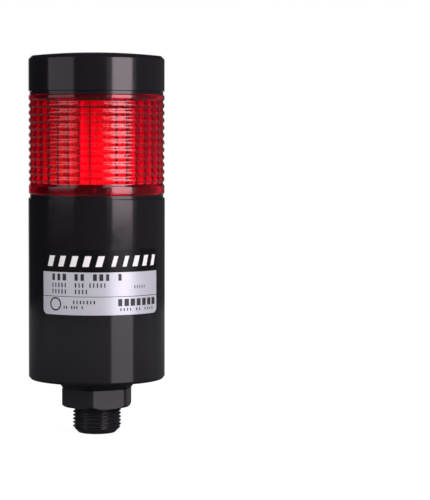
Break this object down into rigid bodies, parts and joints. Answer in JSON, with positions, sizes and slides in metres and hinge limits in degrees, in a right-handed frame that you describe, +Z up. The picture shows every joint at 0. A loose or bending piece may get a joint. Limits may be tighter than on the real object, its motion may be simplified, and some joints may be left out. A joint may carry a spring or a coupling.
{
  "type": "stack light",
  "caption": "Signal tower light with a black cylindrical base on a threaded stem, a red ribbed lens module and a twist-lock cap.",
  "frame": {"origin": "on the tower axis at the underside of the hexagon shoulder, where it seats on the panel", "axes": "+Z up along the tower axis towards the cap; -Y is the front, the middle of the rating plate; +X is to the right seen from the front"},
  "size_m": [0.0562, 0.0564, 0.1567],
  "materials": {
    "black_moulding": "moulded black ABS, satin gloss",
    "red_lens": "clear red polycarbonate, polished",
    "seal_rubber": "moulded black rubber",
    "screw_steel": "zinc-plated steel",
    "plate_film": "silver polyester film with a black printed header",
    "green_board": "glass-fibre board with green solder mask",
    "white_board": "glass-fibre board with white solder mask",
    "contact_brass": "tinned spring brass",
    "package_black": "moulded black resin",
    "terminal_green": "moulded green polyamide",
    "capacitor_can": "sleeved aluminium can",
    "resistor_body": "lacquered ceramic rod",
    "white_moulding": "moulded white ABS",
    "led_resin": "clear epoxy over a pale cavity"
  },
  "bodies": {
    "base_unit": {"stem_adapter": "black_moulding", "stem_seal": "seal_rubber", "stem_screws": "screw_steel", "body_housing": "black_moulding", "name_plate": "plate_film", "body_deck": "black_moulding", "deck_seal": "seal_rubber", "deck_screws": "screw_steel", "lens_seal": "seal_rubber", "deck_contact_board": "green_board", "deck_contacts": "contact_brass", "main_board": "green_board", "board_header": "package_black", "terminal_block": "terminal_green", "terminal_screws": "screw_steel", "bridge_rectifier": "package_black", "flasher_chip": "package_black", "smoothing_capacitor": "capacitor_can", "resistors": "resistor_body"},
    "light_module": {"lens": "red_lens", "module_top": "black_moulding", "module_base": "black_moulding", "base_contacts": "contact_brass", "base_board": "white_board", "led_column": "white_moulding", "led_boards": "white_board", "leds": "led_resin", "top_contact_board": "green_board", "top_contacts": "contact_brass", "module_screws": "screw_steel", "cap_seal": "seal_rubber"},
    "head": {"head_cap": "black_moulding"}
  },
  "joints": [
    {"name": "module_twist", "type": "hinge", "parent": "base_unit", "child": "light_module", "pos_m": [0, 0, 0.08765], "axis": [0, 0, 1], "range_deg": [0, 25]},
    {"name": "cap_twist", "type": "hinge", "parent": "light_module", "child": "head", "pos_m": [0, 0, 0.12977], "axis": [0, 0, 1], "range_deg": [0, 25]}
  ]
}
